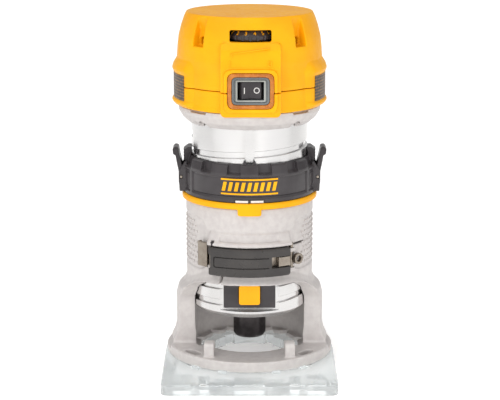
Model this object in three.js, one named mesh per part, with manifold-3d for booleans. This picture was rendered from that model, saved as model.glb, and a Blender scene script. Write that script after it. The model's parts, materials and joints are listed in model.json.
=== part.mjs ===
// Compact fixed-base router: cast base with a clear sub-base, motor that slides in the base and
// is set for depth by a ring on its helical groove, band clamp with a cam lever, and a collet.
//
// Millimetres, +Z up, -Y to the front. The shapes are drawn about the spindle axis, and the last
// group moves that axis back, so that the origin is under the middle of the bounding box.
// Angles round the axis are in degrees from the front, and grow towards the right (+X).
import * as THREE from 'three';
import { mergeVertices } from 'three/addons/utils/BufferGeometryUtils.js';
import Module from 'manifold-3d';

const wasm = await Module();
wasm.setup();

// ---------------------------------------------------------------- driving dimensions

const GAP = 0.3; // running gap between neighbouring pieces
const ROUND = 32; // sides of the base's and rings' round shapes
const HEAD_ROUND = 24; // sides of the motor's and head's
const STEP = 360 / HEAD_ROUND;

const SUB_BASE = { halfWidth: 51, front: -72, back: 51, thick: 5.8, hole: 24, corner: 5 };
const AXIS_Y = -(SUB_BASE.front + SUB_BASE.back) / 2; // the spindle axis in the part's frame

const CAN = { r: 34.5, inner: 31.5, bottom: 34.4, flangeTop: 157.4 };
const BORE_R = CAN.r + GAP;
const SLEEVE = { r: 38, top: 101.1 };
const FOOT = { r: 50, bottom: SUB_BASE.thick + GAP, top: 12.3, hole: 28.5 };

// One turn lifts the helical groove by its lead. Its middle is at frontZ on the front, and it runs
// from stepsDown sides of the can before that point to stepsUp sides after it.
const GROOVE = { lead: 9.85, frontZ: 132.5, height: 4, depth: 1.2, stepsDown: 127, stepsUp: 19 };

const RING = { r: 39.3, bottom: 105.3, shoulder: 121.2, top: 127.4, topR: 36.9 };
const TAB = { pivotX: 40.5, pivotZ: 114.5, halfWidth: 6.5, toothTip: 34.05 };
const TOOTH = { right: [106.2, 107.1], left: [109, 110.6] };

const LEVER = { inner: 39.8, outer: 43.5, bottom: 61.6, top: 78.4, angle: 33.5 };
const CLAMP_PIVOT = { angle: -31.5, r: 40.6, pinR: 1.1 };
const STRAP = { inner: 38.3, outer: 39.1, bottom: 66.1, top: 73.9 };
const T_BAR = { angle: 37.8, r: 39.6, barR: 1.3, bottom: 62.9, top: 80.2 };
const CLAMP_SCREW = { angle: 42, z: 70.4, headR: 3.3, shankR: 1.2 };

const PARTING_Z = 170; // where the head's cover meets its collar
const HEAD_TOP = 212.8;
const SWITCH = { x: 0.7, z: 171.3, front: -45.6 };
const DIAL = { x: 0.5, y: -27.5, r: 14.2, z0: 199, z1: 204.1 };
const GLAND = { r: 7, z: 186, y0: 36, y1: 50.5 };
const LABEL = { inner: 44.8, outer: 45.2, bottom: 162, top: 177.2, halfAngle: 33 };

const NUT = { r: 9.8, flats: 18.2, bottom: 14.2, top: 33.6 };
const BIT_R = 3.2;
const LOCK = { z: 48.5, x: 6.2, half: 6, pinR: 2 };

// ---------------------------------------------------------------- materials

const finish = (color, roughness, metalness, extra = {}) =>
  new THREE.MeshStandardMaterial({ color, roughness, metalness, ...extra });

const MATERIAL = {
  casting: finish(0xc4c2be, 0.55, 0.85),
  machined: finish(0xdcdcdc, 0.25, 1),
  yellow: finish(0xfdbf12, 0.45, 0),
  dark: finish(0x3f3d3e, 0.55, 0),
  lever: finish(0x5d5a58, 0.5, 0),
  steel: finish(0x8d8378, 0.35, 1),
  black: finish(0x2b2a2b, 0.4, 0.7),
  clear: finish(0xf2f4f4, 0.08, 0, { transparent: true, opacity: 0.4 }),
  amber: finish(0xb5652a, 0.35, 0, { transparent: true, opacity: 0.85 }),
  label: finish(0x3b3633, 0.6, 0),
  copper: finish(0xb06a3b, 0.4, 0.9),
  lamination: finish(0x77797c, 0.5, 0.9),
  carbon: finish(0x222222, 0.7, 0.1),
  board: finish(0x2c3a30, 0.6, 0),
};

// ---------------------------------------------------------------- shapes

const rad = THREE.MathUtils.degToRad;

/** A closed geometry as a solid, with its faces pointing out. */
function solidOf(geometry) {
  const plain = geometry.clone();
  plain.deleteAttribute('normal');
  plain.deleteAttribute('uv');
  const merged = mergeVertices(plain, 1e-4);
  const points = merged.attributes.position.array;
  const index = merged.index.array;
  const triangles = [];
  let volume = 0;
  for (let i = 0; i < index.length; i += 3) {
    const [a, b, c] = [index[i], index[i + 1], index[i + 2]];
    if (a === b || b === c || c === a) continue;
    triangles.push(a, b, c);
    const corner = (k) => new THREE.Vector3(points[3 * k], points[3 * k + 1], points[3 * k + 2]);
    volume += corner(a).dot(corner(b).cross(corner(c)));
  }
  if (volume < 0) triangles.reverse();
  return new wasm.Manifold(
    new wasm.Mesh({
      numProp: 3,
      vertProperties: new Float32Array(points),
      triVerts: new Uint32Array(triangles),
    }),
  );
}

/** A solid as an indexed geometry. */
function geometryOf(solid) {
  const mesh = solid.getMesh();
  const geometry = new THREE.BufferGeometry();
  geometry.setAttribute('position', new THREE.BufferAttribute(mesh.vertProperties, 3));
  geometry.setIndex(new THREE.BufferAttribute(mesh.triVerts, 1));
  return geometry;
}

const cut = (from, ...tools) =>
  geometryOf(tools.reduce((rest, tool) => rest.subtract(solidOf(tool)), solidOf(from)));
const join = (first, ...others) =>
  geometryOf(others.reduce((whole, other) => whole.add(solidOf(other)), solidOf(first)));
const common = (a, b) => geometryOf(solidOf(a).intersect(solidOf(b)));

/** A box between two corners. */
function box(x0, x1, y0, y1, z0, z1) {
  const geometry = new THREE.BoxGeometry(x1 - x0, y1 - y0, z1 - z0);
  return geometry.translate((x0 + x1) / 2, (y0 + y1) / 2, (z0 + z1) / 2);
}

/** An upright cylinder. */
function rod(r, z0, z1, x = 0, y = 0, sides = 20) {
  const geometry = new THREE.CylinderGeometry(r, r, z1 - z0, sides);
  return geometry.rotateX(Math.PI / 2).translate(x, y, (z0 + z1) / 2);
}

/** A cylinder along Y. */
function rodY(r, y0, y1, x, z, sides = 20) {
  return new THREE.CylinderGeometry(r, r, y1 - y0, sides).translate(x, (y0 + y1) / 2, z);
}

/** A cylinder along X. */
function rodX(r, x0, x1, y, z, sides = 16) {
  const geometry = new THREE.CylinderGeometry(r, r, x1 - x0, sides);
  return geometry.rotateZ(Math.PI / 2).translate((x0 + x1) / 2, y, z);
}

/** A shape turned about the axis, from its [radius, height] outline. */
function turned(outline, sides = ROUND) {
  const points = [...outline, outline[0]].map(([r, z]) => new THREE.Vector2(r, z));
  return new THREE.LatheGeometry(points, sides).rotateX(Math.PI / 2);
}

/** A round tube about the axis. */
function tube(inner, outer, z0, z1, sides = ROUND) {
  return turned([[inner, z0], [outer, z0], [outer, z1], [inner, z1]], sides);
}

/** Turned about the Z axis, by degrees. */
const spun = (geometry, degrees) => geometry.clone().rotateZ(rad(degrees));

/** A cylinder that points out from the axis. */
const spoke = (r, from, to, angle, z, sides = 20) => spun(rodY(r, -to, -from, 0, z, sides), angle);

/** The point at a radius and an angle round the axis, as [x, y]. */
const at = (r, angle) => [r * Math.sin(rad(angle)), -r * Math.cos(rad(angle))];

/** A curved block between two radii, two heights and two angles. */
function sector(r0, r1, z0, z1, a0, a1) {
  const shape = new THREE.Shape();
  shape.absarc(0, 0, r1, rad(a0 - 90), rad(a1 - 90), false);
  shape.absarc(0, 0, r0, rad(a1 - 90), rad(a0 - 90), true);
  const curveSegments = Math.max(2, Math.round(Math.abs(a1 - a0) / 7));
  const geometry = new THREE.ExtrudeGeometry(shape, { depth: z1 - z0, bevelEnabled: false, curveSegments });
  return geometry.translate(0, 0, z0);
}

/** A shape in plan, made solid between two heights. */
function slab(shape, z0, z1, curveSegments = 6) {
  const geometry = new THREE.ExtrudeGeometry(shape, { depth: z1 - z0, bevelEnabled: false, curveSegments });
  return geometry.translate(0, 0, z0);
}

/** A shape in X and Z, made solid from y0 to y1. */
function frontSlab(shape, y0, y1, curveSegments = 4) {
  const geometry = new THREE.ExtrudeGeometry(shape, { depth: y1 - y0, bevelEnabled: false, curveSegments });
  return geometry.rotateX(Math.PI / 2).translate(0, y1, 0);
}

function polygon(points) {
  return new THREE.Shape(points.map(([x, y]) => new THREE.Vector2(x, y)));
}

/** A rectangle with round corners, about a centre. */
function roundedRectangle(cx, cy, halfX, halfY, r) {
  const shape = new THREE.Shape();
  shape.absarc(cx + halfX - r, cy + halfY - r, r, 0, Math.PI / 2, false);
  shape.absarc(cx - halfX + r, cy + halfY - r, r, Math.PI / 2, Math.PI, false);
  shape.absarc(cx - halfX + r, cy - halfY + r, r, Math.PI, 1.5 * Math.PI, false);
  shape.absarc(cx + halfX - r, cy - halfY + r, r, 1.5 * Math.PI, 2 * Math.PI, false);
  return shape;
}

/**
 * A bar bent into a helix about the axis: z is its middle height at the angle 0, and it runs from
 * step s0 to step s1, each one side of the motor housing.
 */
function helixBar(r0, r1, height, lead, z, s0, s1) {
  const bar = new THREE.BoxGeometry(s1 - s0, 1, height, s1 - s0, 1, 1).translate((s0 + s1) / 2, 0, 0);
  const points = bar.attributes.position;
  for (let i = 0; i < points.count; i += 1) {
    const angle = Math.round(points.getX(i)) * STEP;
    const [x, y] = at(points.getY(i) < 0 ? r1 : r0, angle);
    points.setXYZ(i, x, y, points.getZ(i) + z + (lead * angle) / 360);
  }
  return bar;
}

/** A coil spring along X, Y or Z: turns of wire about a line through the origin. */
function coil(r, wire, length, turns) {
  class Helix extends THREE.Curve {
    getPoint(t) {
      const angle = 2 * Math.PI * turns * t;
      return new THREE.Vector3(r * Math.cos(angle), r * Math.sin(angle), length * t);
    }
  }
  const section = new THREE.Shape();
  section.absarc(0, 0, wire, 0, 2 * Math.PI, false);
  return new THREE.ExtrudeGeometry(section, {
    extrudePath: new Helix(),
    steps: Math.round(turns * 8),
    curveSegments: 2,
  });
}

// ---------------------------------------------------------------- base

function baseCasting() {
  const bell = turned([
    [FOOT.hole, FOOT.bottom], [FOOT.r, FOOT.bottom], [FOOT.r, 11.3], [49, FOOT.top],
    [48.4, FOOT.top], [45.2, 17.5], [44.2, 28], [43.8, 45], [42.4, 54.5], [SLEEVE.r, 62.6],
    [SLEEVE.r, SLEEVE.top], [35.8, SLEEVE.top], [35.8, 103.2], [36.5, 103.5], [36.5, 104.6],
    [BORE_R, 104.6], [BORE_R, 40], [36.5, 34], [40, 16], [40, FOOT.top], [FOOT.hole, FOOT.top],
  ]);
  const brow = cut(sector(37.5, 42, 79, 86.2, -36.5, 36.5), sector(39.8, 43, 81.2, 84.8, -40, 40));
  const [lugX, lugY] = at(T_BAR.r, T_BAR.angle);
  const lugs = [[62.7, 65.3], [74.7, 77.2]].map(([z0, z1]) => sector(37.5, 41.6, z0, z1, 35, 40.6));
  const screwBoss = spoke(3.9, 36.5, 40.9, CLAMP_SCREW.angle, CLAMP_SCREW.z);
  const posts = [-1, 1].map((side) => box(23.25 * side - 2.95, 23.25 * side + 2.95, -40, -33.5, 12, 22.7));
  const whole = join(bell, brow, ...lugs, screwBoss);

  const window = polygon([
    [-60, FOOT.top], [-12, FOOT.top], [-12, 41], [-17.5, 49.5], [-24.5, 54], [-32, 56], [-60, 56.8],
  ]);

  const slotCuts = [-1, 1].map((side) => {
    const slot = roundedRectangle(0, 0, 5.6, 2.5, 2.4);
    return slab(slot, 9, 13).rotateZ(rad(48 * side)).translate(33.4 * side, -30.1, 0);
  });
  const screwHoles = screwPlaces.map(([x, y]) => rod(2.3, 5, 10.9, x, y, 12));
  const windowCut = slab(window, -60, 60).rotateX(Math.PI / 2).rotateZ(Math.PI / 2);
  const trimmed = join(cut(whole, windowCut), ...posts);
  return cut(
    trimmed,
    ...slotCuts,
    ...screwHoles,
    sector(33, 40, 77.4, 78.6, -25, 60),
    spun(box(-0.8, 0.8, -43, -33, 55, 78.6), -24.6),
    sector(SLEEVE.r, 42, 65.6, 74.4, 30, 40.1),
    rod(T_BAR.barR + GAP, 62, 81, lugX, lugY),
    spoke(CLAMP_SCREW.shankR + GAP, 36, 44, CLAMP_SCREW.angle, CLAMP_SCREW.z, 12),
    spoke(2.1, 34, 37, 0, 94, 12),
  );
}

const screwPlaces = [-1, 1].flatMap((side) => [[33.4 * side, -30.1], [33.4 * side, 30.1]]);

function subBase() {
  const { halfWidth, front, back, thick, hole, corner } = SUB_BASE;
  const outline = new THREE.Shape();
  outline.moveTo(-halfWidth, 0);
  outline.lineTo(-halfWidth, front + corner);
  outline.absarc(-halfWidth + corner, front + corner, corner, Math.PI, 1.5 * Math.PI, false);
  outline.absarc(halfWidth - corner, front + corner, corner, 1.5 * Math.PI, 2 * Math.PI, false);
  outline.lineTo(halfWidth, 0);
  outline.absarc(0, 0, back, 0, Math.PI, false);
  const plate = slab(outline, 0, thick, 12);
  const holes = screwPlaces.flatMap(([x, y]) => [rod(2.2, -1, 7, x, y, 12), rod(3.9, -1, 3.1, x, y, 16)]);
  const notches = [0, 60, 120].map((angle) => spun(box(-27, 27, -3, 3, -1, 7), angle));
  return cut(plate, rod(hole, -1, 7, 0, 0, ROUND), ...notches, ...holes);
}

function subBaseScrew([x, y]) {
  const screw = join(rod(3.5, 0.7, 2.8, x, y, 16), rod(1.8, 2.7, 8.6, x, y, 12));
  return cut(screw, box(x - 0.5, x + 0.5, y - 2.2, y + 2.2, 0, 1.6), box(x - 2.2, x + 2.2, y - 0.5, y + 0.5, 0, 1.6));
}

function clampStrap() {
  const [pivotX, pivotY] = at(CLAMP_PIVOT.r, CLAMP_PIVOT.angle);
  const [barX, barY] = at(T_BAR.r, T_BAR.angle);
  const { inner, outer, bottom, top } = STRAP;
  const whole = join(
    sector(inner, outer, bottom, top, -48, 37.4),
    rod(2.1, bottom, top, pivotX, pivotY),
    rod(T_BAR.barR, T_BAR.bottom, T_BAR.top, barX, barY),
    sector(39.9, 41, 65.3, 80.2, -48, -37.5),
    sector(inner, 41, 65.3, 80.2, -48, -46.8),
    sector(42, 42.8, 67.3, 73.1, 23.5, 34),
    sector(inner, 42.8, 67.3, 73.1, 23.5, 24.6),
    sector(inner, 42.8, 67.3, 73.1, 32.9, 34),
  );
  return cut(whole, rod(CLAMP_PIVOT.pinR + GAP, 60, 82, pivotX, pivotY, 12));
}

function clampPivotPin() {
  const [x, y] = at(CLAMP_PIVOT.r, CLAMP_PIVOT.angle);
  return rod(CLAMP_PIVOT.pinR, LEVER.bottom + 0.4, LEVER.top + 0.2, x, y, 12);
}

// ---------------------------------------------------------------- clamp lever and screw

function clampLever() {
  const [x, y] = at(CLAMP_PIVOT.r, CLAMP_PIVOT.angle);
  const { inner, outer, bottom, top, angle } = LEVER;
  const body = join(sector(inner, outer, bottom, top, -angle, angle), rod(2.1, bottom, top, x, y));
  return cut(
    body,
    rod(2.4, 65.8, 74.2, x, y),
    sector(37, 44, 65.8, 74.2, -36, -31.9),
    sector(37, 44, 66.9, 73.5, 17.5, 36),
    rod(CLAMP_PIVOT.pinR + GAP, 60, 82, x, y, 12),
  );
}

function clampAdjustingScrew() {
  const { angle, z, headR, shankR } = CLAMP_SCREW;
  const screw = join(spoke(headR, 41.2, 43.4, angle, z), spoke(shankR, 36.6, 41.3, angle, z, 12));
  return cut(screw, spoke(2.2, 41.9, 44, angle, z, 6));
}

// ---------------------------------------------------------------- rings

function scaleRing() {
  return join(
    tube(37.9, 39.4, SLEEVE.top + 0.4, 105),
    sector(SLEEVE.r + 0.35, 40, 97.3, 103, -10.8, 10.8),
  );
}

function adjustmentRing() {
  const whole = [turned([
    [36.1, 101.5], [37.6, 101.5], [37.6, RING.bottom], [RING.r, RING.bottom], [RING.r, RING.shoulder],
    [RING.topR, RING.top], [34.9, RING.top], [34.9, 105], [36.8, 105], [36.8, 102.9], [36.1, 102.9],
  ])];
  const cuts = [];
  for (const side of [-1, 1]) {
    const [px, pz] = [TAB.pivotX, TAB.pivotZ];
    whole.push(sector(34.95, 39, 120, 131.8, 90 * side - 9, 90 * side + 9));
    for (const end of [-1, 1]) {
      const lug = box(px - 3.5, px + 1.5, 8.5 * end - 1.4, 8.5 * end + 1.4, pz - 3, pz + 3);
      whole.push(spun(lug, side > 0 ? 0 : 180));
    }
    cuts.push(
      spun(box(37.9, 41, -7, 7, 105.7, 125), side > 0 ? 0 : 180),
      spun(box(33, 41, -3.5, 3.5, 104.8, 111.4), side > 0 ? 0 : 180),
      rodY(1.1, -11, 11, px * side, pz, 12),
    );
  }
  return cut(join(...whole), ...cuts);
}

/** A release tab: squeezed at the top, it lifts its tooth out of the groove. side is 1 or -1. */
function releaseTab(side, [toothBottom, toothTop]) {
  const outline = polygon([
    [39.7, 105.1], [41.7, 105.1], [42, 112], [42.2, 118], [44.6, 127.5], [44.6, 131.2],
    [43.8, 132.1], [42.4, 131.8], [41.9, 127.5], [39.8, 119.5], [39.1, 116.8], [39.1, 112.2], [39.7, 111.4],
  ]);
  const plate = frontSlab(outline, -TAB.halfWidth, TAB.halfWidth);
  const tooth = box(TAB.toothTip, 40.5, -3, 3, toothBottom, toothTop);
  const tab = cut(
    join(plate, tooth),
    rodY(2.2, -3, 3, TAB.pivotX, TAB.pivotZ, 16),
    rodY(1.1, -8, 8, TAB.pivotX, TAB.pivotZ, 12),
  );
  return side > 0 ? tab : spun(tab, 180);
}

function tabPin(side) {
  return rodY(0.8, -9.6, 9.6, TAB.pivotX * side, TAB.pivotZ, 10);
}

function tabSpring(side) {
  const spring = cut(
    rodY(1.8, -2.6, 2.6, TAB.pivotX, TAB.pivotZ, 14),
    rodY(1.1, -3, 3, TAB.pivotX, TAB.pivotZ, 10),
  );
  return spun(spring, side > 0 ? 0 : 180);
}

// ---------------------------------------------------------------- motor

const coverScrewPlaces = [45, 135, 225, 315].map((angle) => at(36.6, angle));

function motorHousing() {
  const { r, inner, bottom, flangeTop } = CAN;
  const can = turned([
    [10.4, bottom], [33.2, bottom], [r, bottom + 2.2], [r, 146.6], [35, 147], [41.1, 151.8], [42, 154.9],
    [42, flangeTop], [37.8, flangeTop], [37.8, 160], [inner, 160], [inner, 66], [13.5, 66],
    [13.5, 57.5], [11, 57.5], [11, 56], [27, 56], [27, 42], [10.4, 42],
  ], HEAD_ROUND);
  const { lead, frontZ, height, depth, stepsDown, stepsUp } = GROOVE;
  const groove = helixBar(r - depth, r + 2, height, lead, frontZ, -stepsDown, stepsUp);
  const exhausts = [-46, 46, 134, 226].map((angle) => sector(40.5, 43, 156.2, 158, angle - 8, angle + 8));
  const screwHoles = coverScrewPlaces.flatMap(([x, y]) => [rod(3.1, 146, 153.3, x, y, 12), rod(1.9, 150, 161, x, y, 10)]);
  const lamps = lampPlaces.map(([x, y]) => rod(2.9, 33, 43, x, y, 16));
  return cut(
    can,
    groove,
    box(-2.75, 2.75, -36, -32.5, 60, 146.2),
    box(-17.6, 17.6, -36, -29.6, 38.4, 57.8),
    box(-LOCK.x - GAP, LOCK.x + GAP, -30, -26, LOCK.z - LOCK.half - GAP, LOCK.z + LOCK.half + GAP),
    ...exhausts,
    ...screwHoles,
    ...lamps,
  );
}

const lampPlaces = [[-19, -10], [19, -10]];

function spindleLockPlate() {
  const plate = box(-15.3, 15.3, -30.7, -29.9, 39.9, 55.8);
  const { x, z, half } = LOCK;
  return cut(plate, box(-x - GAP, x + GAP, -32, -29, z - half - GAP, z + half + GAP));
}

function spindleLockButton() {
  const { x, z, half, pinR } = LOCK;
  return join(frontSlab(roundedRectangle(0, z, x, half, 1.6), -33.8, -29.9), rodY(pinR, -30, -12.6, 0, z, 12));
}

function fan() {
  const hub = join(tube(4.8, 8, 67.2, 73.6, 20), tube(7, 27, 67.2, 68.4, 30));
  const blades = Array.from({ length: 9 }, (_, i) => spun(box(-0.6, 0.6, -26.5, -7.5, 68, 73.6), i * 40));
  return join(hub, ...blades);
}

function bearingBridge() {
  const arms = [45, 135].map((angle) => spun(box(-32, 32, -5, 5, 160.4, 163.2), angle));
  const bridge = join(rod(12.4, 160.4, 170.6, 0, 0, 16), ...arms, tube(28.5, 33, 160.4, 163.2, 20));
  return cut(bridge, rod(9.8, 160, 171, 0, 0, 16));
}

function brushHolder(side) {
  const holder = cut(box(13.6, 27, -4.6, 4.6, 136.6, 145.8), box(13, 26, -3.3, 3.3, 138.2, 144.2));
  return spun(holder, side > 0 ? 0 : 180);
}

const brush = (side) => spun(box(11.4, 20, -3, 3, 138.5, 143.9), side > 0 ? 0 : 180);

function brushSpring(side) {
  const spring = coil(2, 0.35, 5, 3).rotateY(Math.PI / 2).translate(20.6, 0, 141.2);
  return side > 0 ? spring : spun(spring, 180);
}

// ---------------------------------------------------------------- head

const headBump = (y0, z0, z1) => {
  const face = roundedRectangle(SWITCH.x, (156 + 185) / 2, 18, 14.6, 4);
  return common(frontSlab(face, SWITCH.front, y0), box(-40, 40, -60, y0, z0, z1));
};

const switchRecess = () => [
  frontSlab(roundedRectangle(SWITCH.x, SWITCH.z, 14.5, 10.2, 2.4), -50, -42.9),
  frontSlab(roundedRectangle(SWITCH.x, SWITCH.z, 11.8, 8.3, 2), -50, -34),
];

function housingCover() {
  const z0 = PARTING_Z + GAP / 2;
  const shell = turned([
    [42, z0], [42.6, 185.8], [42.3, 191.3], [41.6, 197.3], [40.1, 203.3], [38.2, 209.2], [35.8, HEAD_TOP],
    [33.6, HEAD_TOP], [33, 212], [0, 212], [0, 207.8], [32.6, 207.8], [36, 202.5], [38, 197],
    [39.6, 188], [39.6, z0],
  ], HEAD_ROUND);
  const pads = [-90, 90].flatMap((angle) => [
    sector(39.6, 44.5, z0, 177.6, angle - 35, angle + 35),
    sector(39.6, 45.6, 177.5, 181.2, angle - 35, angle + 35),
  ]);
  const bosses = coverScrewPlaces.map(([x, y]) => rod(3.3, 172, 184, x, y, 14));
  const dialHood = common(
    frontSlab(roundedRectangle(DIAL.x, 199, 16, 8, 3), -42.2, -37.4),
    turned([[0, 180], [60, 180], [42.4, 199], [42.4, 206.5], [0, 212]], HEAD_ROUND),
  );
  const body = join(shell, ...pads, headBump(-38, z0, 190), dialHood, ...bosses);
  const scoops = [-45, 45].flatMap((angle) => [
    spun(box(-2.5, 2.5, -46, -38.6, 194.6, 212), angle),
    spun(box(-2.1, 2.1, -40, -33, 195, 198.6), angle),
  ]);
  const rearVents = [150, 160, 170, 190, 200, 210].map((angle) => spun(box(-1.3, 1.3, -46, -34, 188, 200), angle));
  return cut(
    body,
    ...switchRecess(),
    ...scoops,
    ...rearVents,
    ...coverScrewPlaces.map(([x, y]) => rod(1.9, 171, 180.5, x, y, 10)),
    box(DIAL.x - 12, DIAL.x + 12, -46, -30, 198.2, 204.9),
    rod(DIAL.r + 0.5, 198.2, 204.9, DIAL.x, DIAL.y, 30),
    rodY(GLAND.r + GAP, 34, 52, 0, GLAND.z),
  );
}

function housingCollar() {
  const z1 = PARTING_Z - GAP / 2;
  const shell = turned([
    [38.2, 157.7], [43, 157.7], [42.6, 160], [42, 163], [42, z1], [39.6, z1], [38.2, 160.4],
  ], HEAD_ROUND);
  const pads = [-90, 90].flatMap((angle) => [
    sector(39.6, 44.5, 161.4, z1, angle - 35, angle + 35),
    sector(39.6, 45.8, 159.2, 161.5, angle - 35, angle + 35),
  ]);
  const body = join(shell, ...pads, headBump(-38.4, 155.9, z1));
  return cut(body, ...switchRecess(), rod(42.4, 150, 157.7, 0, 0, ROUND));
}

function switchBoot() {
  const outer = frontSlab(roundedRectangle(SWITCH.x, SWITCH.z, 14.1, 9.8, 2.2), -44.2, -43.3);
  return cut(outer, frontSlab(roundedRectangle(SWITCH.x, SWITCH.z, 11.8, 8.2, 1.8), -46, -42));
}

function switchBezel() {
  const outer = frontSlab(roundedRectangle(SWITCH.x, SWITCH.z, 11.4, 7.9, 1.8), -44, -35);
  return cut(outer, box(SWITCH.x - 7.4, SWITCH.x + 7.4, -46, -34, SWITCH.z - 5.2, SWITCH.z + 5.2));
}

function switchRocker() {
  const drum = rod(6.9, SWITCH.z - 4.9, SWITCH.z + 4.9, SWITCH.x, -38, 24);
  const dish = polygon([[-9, -50], [9, -50], [9, -42.4], [0, -40.9], [-9, -44.2]]);
  return cut(drum, slab(dish, 160, 185).translate(SWITCH.x, 0, 0));
}

const switchBody = () => box(SWITCH.x - 10.6, SWITCH.x + 10.6, -30.6, -20, SWITCH.z - 7.4, SWITCH.z + 7.4);

function speedDial() {
  const { x, y, r, z0, z1 } = DIAL;
  const wheel = rod(r, z0, z1, x, y, 36);
  const knurls = Array.from({ length: 18 }, (_, i) => {
    const angle = (i * 2 * Math.PI) / 18;
    return rod(0.7, z0 - 1, z1 + 1, x + r * Math.cos(angle), y + r * Math.sin(angle), 6);
  });
  return cut(wheel, rod(1.6, 190, 210, x, y, 12), ...knurls);
}

function controlModule() {
  const board = box(-20, 20, -32, 24, 188, 190);
  const block = box(-15, 15, 0, 22, 189.5, 202);
  const dialPost = join(rod(4.5, 189.5, 196.5, DIAL.x, DIAL.y, 14), rod(1.2, 190, 203.5, DIAL.x, DIAL.y, 10));
  return join(board, block, dialPost);
}

function ratingLabel(side) {
  const { inner, outer, bottom, top, halfAngle } = LABEL;
  return sector(inner, outer, bottom, top, 90 * side - halfAngle, 90 * side + halfAngle);
}

function cordGland() {
  const { r, z, y0, y1 } = GLAND;
  const sleeve = join(rodY(r, y0, 44.6, 0, z), rodY(8.6, 43.4, 45.4, 0, z), rodY(6, 44, y1, 0, z));
  return cut(sleeve, rodY(3.8, y0 - 1, y1 + 1, 0, z, 16));
}

const coverScrew = ([x, y]) => join(rod(2.7, 150.8, 152.9, x, y, 12), rod(1.6, 152.8, 180, x, y, 10));

// ---------------------------------------------------------------- spindle and collet

function spindle() {
  const shaft = turned([
    [0, 36.5], [5.5, 36.5], [5.5, 24], [7.6, 24], [7.6, 44.5], [12, 44.5], [12, 53.7], [6, 53.7],
    [6, 66], [4.5, 67], [4.5, 171.4], [0, 171.4],
  ], 24);
  const lockHoles = [0, 90, 180, 270].map((angle) => spoke(2.5, 7.5, 13, angle, LOCK.z, 12));
  return cut(shaft, ...lockHoles);
}

function commutator() {
  const bars = Array.from({ length: 12 }, (_, i) => spun(box(-0.3, 0.3, -12, -10.4, 130, 150), i * 30));
  return cut(tube(4.8, 11, 135, 147, 24), ...bars);
}

function collet() {
  const sleeve = turned([[BIT_R, 16], [4.6, 16], [5.2, 18.5], [5.2, 35], [BIT_R, 35]], 20);
  const slits = [0, 90].map((angle) => spun(box(-6, 6, -0.4, 0.4, 15, 29), angle + 45));
  return cut(sleeve, ...slits);
}

function colletNut() {
  const { r, flats, bottom, top } = NUT;
  const round = turned([
    [3.9, bottom], [8.1, bottom], [r, 15.4], [r, top], [7.9, top], [7.9, 19.5], [5.5, 19], [5.5, 15.7], [3.9, 15.7],
  ], 24);
  const hexagon = rod(flats / Math.sqrt(3), bottom - 1, top - 3, 0, 0, 6);
  return common(round, join(hexagon, rod(r + 1, top - 3, top + 1, 0, 0, 24)));
}

// ---------------------------------------------------------------- assembly

const router = new THREE.Group();

function piece(group, name, geometry, material) {
  const mesh = new THREE.Mesh(geometry, material.clone());
  mesh.name = name;
  group.add(mesh);
}

const base = new THREE.Group();
piece(base, 'base_casting', baseCasting(), MATERIAL.casting);
piece(base, 'sub_base', subBase(), MATERIAL.clear);
screwPlaces.forEach((place, i) => piece(base, `sub_base_screw_${i + 1}`, subBaseScrew(place), MATERIAL.steel));
piece(base, 'guide_pin', spoke(1.8, 33.1, 36.7, 0, 94, 12), MATERIAL.steel);
piece(base, 'clamp_strap', clampStrap(), MATERIAL.steel);
piece(base, 'clamp_pivot_pin', clampPivotPin(), MATERIAL.steel);
piece(base, 'clamp_lever', clampLever(), MATERIAL.lever);
piece(base, 'clamp_adjusting_screw', clampAdjustingScrew(), MATERIAL.black);
piece(base, 'scale_ring', scaleRing(), MATERIAL.yellow);

const ring = new THREE.Group();
piece(ring, 'adjustment_ring', adjustmentRing(), MATERIAL.dark);
for (const [word, side] of [['left', -1], ['right', 1]]) {
  piece(ring, `release_tab_${word}`, releaseTab(side, TOOTH[word]), MATERIAL.dark);
  piece(ring, `tab_pin_${word}`, tabPin(side), MATERIAL.steel);
  piece(ring, `tab_spring_${word}`, tabSpring(side), MATERIAL.steel);
}

const motor = new THREE.Group();
piece(motor, 'motor_housing', motorHousing(), MATERIAL.machined);
piece(motor, 'stator_core', tube(22, CAN.inner - GAP, 84, 122, 30), MATERIAL.lamination);
piece(motor, 'field_winding_lower', tube(22.5, 29, 75, 83.7, 24), MATERIAL.copper);
piece(motor, 'field_winding_upper', tube(22.5, 29, 122.3, 131.5, 24), MATERIAL.copper);
piece(motor, 'lower_bearing', tube(6.3, 13.2, 57.8, 65.7, 24), MATERIAL.steel);
piece(motor, 'upper_bearing', tube(4.8, 9.5, 164, 170.4, 20), MATERIAL.steel);
piece(motor, 'bearing_bridge', bearingBridge(), MATERIAL.dark);
for (const [word, side] of [['left', -1], ['right', 1]]) {
  piece(motor, `brush_holder_${word}`, brushHolder(side), MATERIAL.copper);
  piece(motor, `carbon_brush_${word}`, brush(side), MATERIAL.carbon);
  piece(motor, `brush_spring_${word}`, brushSpring(side), MATERIAL.steel);
  piece(motor, `rating_label_${word}`, ratingLabel(side), MATERIAL.label);
}
lampPlaces.forEach(([x, y], i) => piece(motor, `lamp_lens_${i + 1}`, rod(2.6, 34.8, 39.5, x, y, 16), MATERIAL.clear));
piece(motor, 'spindle_lock_plate', spindleLockPlate(), MATERIAL.dark);
piece(motor, 'spindle_lock_button', spindleLockButton(), MATERIAL.yellow);
piece(motor, 'housing_cover', housingCover(), MATERIAL.yellow);
piece(motor, 'housing_collar', housingCollar(), MATERIAL.yellow);
piece(motor, 'switch_boot', switchBoot(), MATERIAL.amber);
piece(motor, 'switch_bezel', switchBezel(), MATERIAL.lever);
piece(motor, 'switch_rocker', switchRocker(), MATERIAL.dark);
piece(motor, 'switch_body', switchBody(), MATERIAL.dark);
piece(motor, 'speed_dial', speedDial(), MATERIAL.dark);
piece(motor, 'control_module', controlModule(), MATERIAL.board);
piece(motor, 'cord_gland', cordGland(), MATERIAL.dark);
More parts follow.
